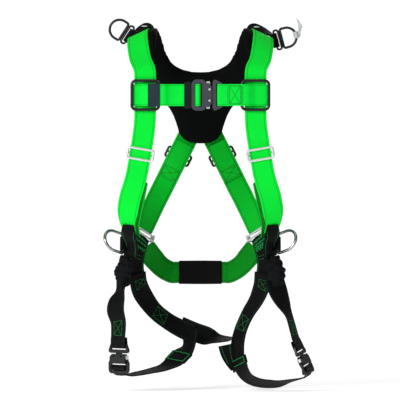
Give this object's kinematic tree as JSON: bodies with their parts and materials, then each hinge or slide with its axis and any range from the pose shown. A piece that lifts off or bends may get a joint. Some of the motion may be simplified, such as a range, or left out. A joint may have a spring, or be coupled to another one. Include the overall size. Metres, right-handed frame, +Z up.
{
  "type": "full body fall arrest harness",
  "caption": "Webbing body harness with a padded back, chest and leg quick-connect buckles, sliding adjusters and hook rings at the back, shoulders and hips.",
  "frame": {"origin": "centre of the dorsal ring's eye, where a lanyard hook sits between the shoulder blades", "axes": "+Z up along the wearer's back, +Y behind the wearer, +X to the viewer's right as seen from the front"},
  "size_m": [0.4384, 0.2437, 0.7738],
  "materials": {
    "pad_mesh": "black padded mesh cloth",
    "green_webbing": "bright green polyester webbing",
    "green_webbing_shade": "green polyester webbing",
    "black_webbing": "black polyester webbing",
    "elastic": "dark slate elastic",
    "black_sleeve": "black woven sleeve",
    "gunmetal": "dark grey coated steel",
    "black_metal": "black coated steel",
    "bright_steel": "polished steel",
    "chrome_ring": "forged and plated steel",
    "label": "soft white label film"
  },
  "bodies": {
    "harness": {"back_pad": "pad_mesh", "shoulder_strap_l": "green_webbing", "shoulder_strap_r": "green_webbing", "torso_tail_l": "green_webbing_shade", "torso_tail_r": "green_webbing_shade", "back_strap_l": "green_webbing_shade", "back_strap_r": "green_webbing_shade", "seat_strap": "green_webbing_shade", "hip_strap_l": "black_webbing", "hip_strap_r": "black_webbing", "hip_pad_l": "black_webbing", "hip_pad_r": "black_webbing", "leg_strap_l": "black_webbing", "leg_strap_r": "black_webbing", "leg_front_strap_l": "black_webbing", "leg_front_strap_r": "black_webbing", "leg_lower_strap_l": "black_webbing", "leg_lower_strap_r": "black_webbing", "leg_keeper_l": "black_webbing", "leg_keeper_r": "black_webbing", "cross_strap": "black_webbing", "leg_flap": "black_webbing", "shoulder_loop_l": "black_webbing", "shoulder_loop_r": "black_webbing", "dorsal_plate": "gunmetal", "hip_buckle_l": "bright_steel", "hip_buckle_r": "bright_steel", "side_tab_l": "black_webbing", "side_tab_r": "black_webbing", "leg_buckle_body_l": "black_metal", "leg_buckle_body_r": "black_metal"},
    "chest_band": {"chest_ring_l": "black_metal", "chest_ring_r": "black_metal", "chest_strap_left": "green_webbing", "chest_strap_right": "green_webbing", "chest_buckle_body": "gunmetal", "chest_buckle_pins": "bright_steel"},
    "chest_tongue": {"chest_buckle_tongue": "gunmetal"},
    "chest_button_top": {"chest_button_top": "bright_steel"},
    "chest_button_bottom": {"chest_button_bottom": "bright_steel"},
    "chest_keeper": {"chest_keeper": "elastic"},
    "buckle_keeper": {"buckle_keeper": "black_sleeve"},
    "seat_sleeve": {"seat_sleeve": "black_sleeve"},
    "torso_adjuster_l": {"torso_adjuster_l": "bright_steel"},
    "torso_adjuster_r": {"torso_adjuster_r": "bright_steel"},
    "back_adjuster_l": {"back_adjuster_l": "black_metal"},
    "back_adjuster_r": {"back_adjuster_r": "black_metal"},
    "dorsal_ring": {"dorsal_ring": "chrome_ring"},
    "side_ring_l": {"side_ring_l": "chrome_ring"},
    "side_ring_r": {"side_ring_r": "chrome_ring"},
    "shoulder_ring_l": {"shoulder_ring_l": "black_metal"},
    "shoulder_ring_r": {"shoulder_ring_r": "black_metal"},
    "ring_tag": {"ring_tag": "label"},
    "leg_tongue_l": {"leg_buckle_tongue_l": "black_metal"},
    "leg_tongue_r": {"leg_buckle_tongue_r": "black_metal"},
    "leg_button_front_l": {"leg_button_front_l": "bright_steel"},
    "leg_button_back_l": {"leg_button_back_l": "bright_steel"},
    "leg_button_front_r": {"leg_button_front_r": "bright_steel"},
    "leg_button_back_r": {"leg_button_back_r": "bright_steel"}
  },
  "joints": [
    {"name": "chest_height", "type": "slide", "parent": "harness", "child": "chest_band", "axis": [0, 0, 1], "range_m": [-0.015, 0.015]},
    {"name": "chest_release", "type": "slide", "parent": "chest_band", "child": "chest_tongue", "axis": [1, 0, 0], "range_m": [0, 0.022], "deforming": ["chest_strap_right"]},
    {"name": "chest_button_top_press", "type": "slide", "parent": "chest_band", "child": "chest_button_top", "axis": [0, 0, -1], "range_m": [0, 0.003], "stiffness_N_per_m": 400, "springref_m": -0.002},
    {"name": "chest_button_bottom_press", "type": "slide", "parent": "chest_band", "child": "chest_button_bottom", "axis": [0, 0, 1], "range_m": [0, 0.003], "stiffness_N_per_m": 400, "springref_m": -0.002},
    {"name": "chest_keeper_slide", "type": "slide", "parent": "chest_band", "child": "chest_keeper", "axis": [1, 0, 0], "range_m": [0, 0.009]},
    {"name": "buckle_keeper_slide", "type": "slide", "parent": "chest_band", "child": "buckle_keeper", "axis": [-1, 0, 0], "range_m": [0, 0.016]},
    {"name": "seat_sleeve_slide", "type": "slide", "parent": "harness", "child": "seat_sleeve", "axis": [1, 0, 0], "range_m": [-0.008, 0.008]},
    {"name": "torso_adjuster_l_slide", "type": "slide", "parent": "harness", "child": "torso_adjuster_l", "axis": [-0.169, 0, -0.9856], "range_m": [-0.012, 0.012]},
    {"name": "torso_adjuster_r_slide", "type": "slide", "parent": "harness", "child": "torso_adjuster_r", "axis": [0.169, 0, -0.9856], "range_m": [-0.012, 0.012]},
    {"name": "back_adjuster_l_slide", "type": "slide", "parent": "harness", "child": "back_adjuster_l", "axis": [-0.4472, 0, -0.8944], "range_m": [0, 0.012]},
    {"name": "back_adjuster_r_slide", "type": "slide", "parent": "harness", "child": "back_adjuster_r", "axis": [0.4472, 0, -0.8944], "range_m": [0, 0.012]},
    {"name": "dorsal_ring_swing", "type": "hinge", "parent": "harness", "child": "dorsal_ring", "pos_m": [0, 0, 0.026], "axis": [1, 0, 0], "range_deg": [0, 150]},
    {"name": "side_ring_l_swing", "type": "hinge", "parent": "harness", "child": "side_ring_l", "pos_m": [-0.161, -0.157, -0.258], "axis": [0, 0.5, 0.866], "range_deg": [-40, 15]},
    {"name": "side_ring_r_swing", "type": "hinge", "parent": "harness", "child": "side_ring_r", "pos_m": [0.161, -0.157, -0.258], "axis": [0, 0.5, 0.866], "range_deg": [-15, 40]},
    {"name": "shoulder_ring_l_swing", "type": "hinge", "parent": "harness", "child": "shoulder_ring_l", "pos_m": [-0.14926, -0.078, 0.17788], "axis": [0.5446, 0, 0.8387], "range_deg": [-55, 55]},
    {"name": "shoulder_ring_r_swing", "type": "hinge", "parent": "harness", "child": "shoulder_ring_r", "pos_m": [0.15748, -0.078, 0.16838], "axis": [-0.2588, 0, 0.9659], "range_deg": [-55, 55]},
    {"name": "ring_tag_turn", "type": "hinge", "parent": "shoulder_ring_r", "child": "ring_tag", "pos_m": [0.20094, -0.078, 0.18002], "axis": [-0.2588, 0, 0.9659], "range_deg": [-30, 30]},
    {"name": "leg_release_l", "type": "slide", "parent": "harness", "child": "leg_tongue_l", "axis": [0, 0, 1], "range_m": [0, 0.022], "deforming": ["leg_front_strap_l"]},
    {"name": "leg_release_r", "type": "slide", "parent": "harness", "child": "leg_tongue_r", "axis": [-0.4067, 0, 0.9135], "range_m": [0, 0.022], "deforming": ["leg_front_strap_r"]},
    {"name": "leg_button_front_l_press", "type": "slide", "parent": "harness", "child": "leg_button_front_l", "axis": [-0.6561, 0.7547, 0], "range_m": [0, 0.003], "stiffness_N_per_m": 400, "springref_m": -0.002},
    {"name": "leg_button_back_l_press", "type": "slide", "parent": "harness", "child": "leg_button_back_l", "axis": [0.6561, -0.7547, 0], "range_m": [0, 0.003], "stiffness_N_per_m": 400, "springref_m": -0.002},
    {"name": "leg_button_front_r_press", "type": "slide", "parent": "harness", "child": "leg_button_front_r", "axis": [0.3125, 0.9397, 0.1391], "range_m": [0, 0.003], "stiffness_N_per_m": 400, "springref_m": -0.002},
    {"name": "leg_button_back_r_press", "type": "slide", "parent": "harness", "child": "leg_button_back_r", "axis": [-0.3125, -0.9397, -0.1391], "range_m": [0, 0.003], "stiffness_N_per_m": 400, "springref_m": -0.002}
  ]
}
